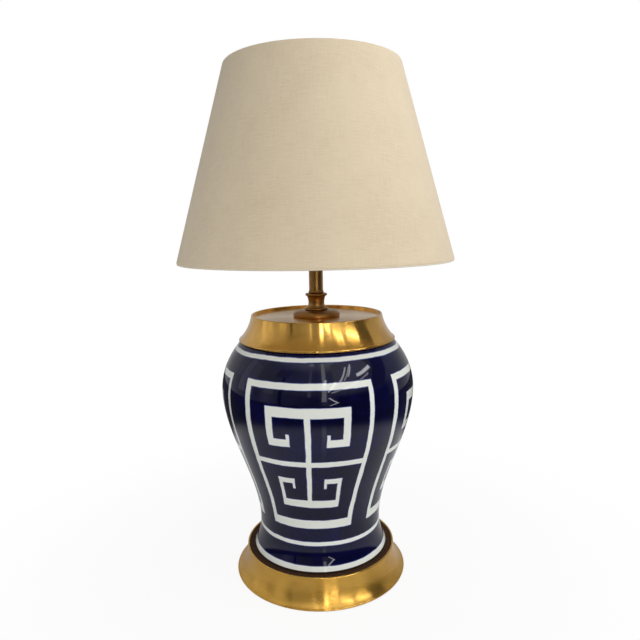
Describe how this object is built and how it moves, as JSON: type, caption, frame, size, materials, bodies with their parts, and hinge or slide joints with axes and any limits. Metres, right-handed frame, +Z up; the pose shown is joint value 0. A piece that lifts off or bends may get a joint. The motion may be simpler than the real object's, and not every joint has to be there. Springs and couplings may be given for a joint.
{
  "type": "ginger jar lamp",
  "caption": "Table lamp with a glazed blue and white ginger jar body, spun brass base and cap, brass stem, harp, screw lampholder and a tapered linen shade.",
  "frame": {"origin": "centre of the felt pad's underside, on the surface that the lamp stands on", "axes": "+Z up along the lamp's axis, -Y the side seen in the picture, +X the switch knob's side, +Y the rear, where the lead leaves the base"},
  "size_m": [0.3538, 0.3536, 0.6711],
  "materials": {
    "felt": "green baize felt",
    "board": "pressed fibre board",
    "base_brass": "brushed brass, softly aged",
    "cap_brass": "polished brass",
    "stem_brass": "antique brass, satin",
    "iron": "rough cast",
    "steel": "zinc plated",
    "cork": "dark bonded cork and rubber",
    "porcelain": "cobalt and white glaze, glossy",
    "holder_brass": "satin brass",
    "insulator": "moulded, matt",
    "card": "fibre sleeve",
    "contact_brass": "bright",
    "knob": "moulded, glossy",
    "bushing": "moulded, matt",
    "bulb_metal": "bright rolled shell",
    "bulb_tip": "vitrified",
    "opal": "opal white",
    "clear_glass": "clear",
    "wire_brass": "plated wire, satin",
    "wire_white": "white epoxy coat",
    "finial_brass": "polished, turned",
    "liner": "translucent sheet, matt",
    "linen": "natural linen weave"
  },
  "bodies": {
    "base": {"felt_pad": "felt", "bottom_cover": "board", "base_shell": "base_brass", "base_weight": "iron", "cord_bushing": "bushing", "bottom_nut": "steel", "lock_washer": "steel", "bottom_washer": "steel", "threaded_rod": "steel", "jar_seat_ring": "cork", "jar": "porcelain", "cap_locating_disc": "steel", "brass_cap": "cap_brass", "upper_washer": "steel", "upper_nut": "steel", "escutcheon": "stem_brass", "neck": "stem_brass", "collar_ring": "stem_brass", "stem_tube": "stem_brass", "harp_saddle": "wire_brass", "socket_cap": "holder_brass", "socket_shell": "holder_brass", "socket_liner": "card", "socket_body": "insulator", "terminal_screws": "contact_brass", "screw_shell": "contact_brass", "centre_contact": "contact_brass"},
    "switch": {"switch_spindle": "steel", "switch_knob": "knob"},
    "bulb": {"bulb_contact": "bulb_metal", "bulb_insulator": "bulb_tip", "bulb_cap": "bulb_metal", "bulb_glass": "opal", "bulb_mount": "clear_glass"},
    "harp": {"harp_loop": "wire_brass", "harp_stud": "wire_brass"},
    "left_ferrule": {"ferrule_left": "wire_brass"},
    "right_ferrule": {"ferrule_right": "wire_brass"},
    "shade": {"shade_spider": "wire_white", "shade_top_ring": "wire_white", "shade_bottom_ring": "wire_white", "shade_liner": "liner", "shade_fabric": "linen"},
    "finial": {"finial": "finial_brass"}
  },
  "joints": [
    {"name": "knob_turn", "type": "hinge", "parent": "base", "child": "switch", "pos_m": [0.018, 0, 0.469], "axis": [1, 0, 0], "continuous": true},
    {"name": "bulb_unscrew", "type": "slide", "parent": "base", "child": "bulb", "axis": [0, 0, 1], "range_m": [0, 0.03]},
    {"name": "harp_lift", "type": "slide", "parent": "base", "child": "harp", "axis": [0, 0, 1], "range_m": [0, 0.15]},
    {"name": "left_ferrule_slide", "type": "slide", "parent": "harp", "child": "left_ferrule", "axis": [0, 0, 1], "range_m": [0, 0.0095]},
    {"name": "right_ferrule_slide", "type": "slide", "parent": "harp", "child": "right_ferrule", "axis": [0, 0, 1], "range_m": [0, 0.0095]},
    {"name": "shade_turn", "type": "hinge", "parent": "harp", "child": "shade", "pos_m": [0, 0, 0.6438], "axis": [0, 0, 1], "continuous": true},
    {"name": "finial_unscrew", "type": "slide", "parent": "harp", "child": "finial", "axis": [0, 0, 1], "range_m": [0, 0.015]}
  ]
}
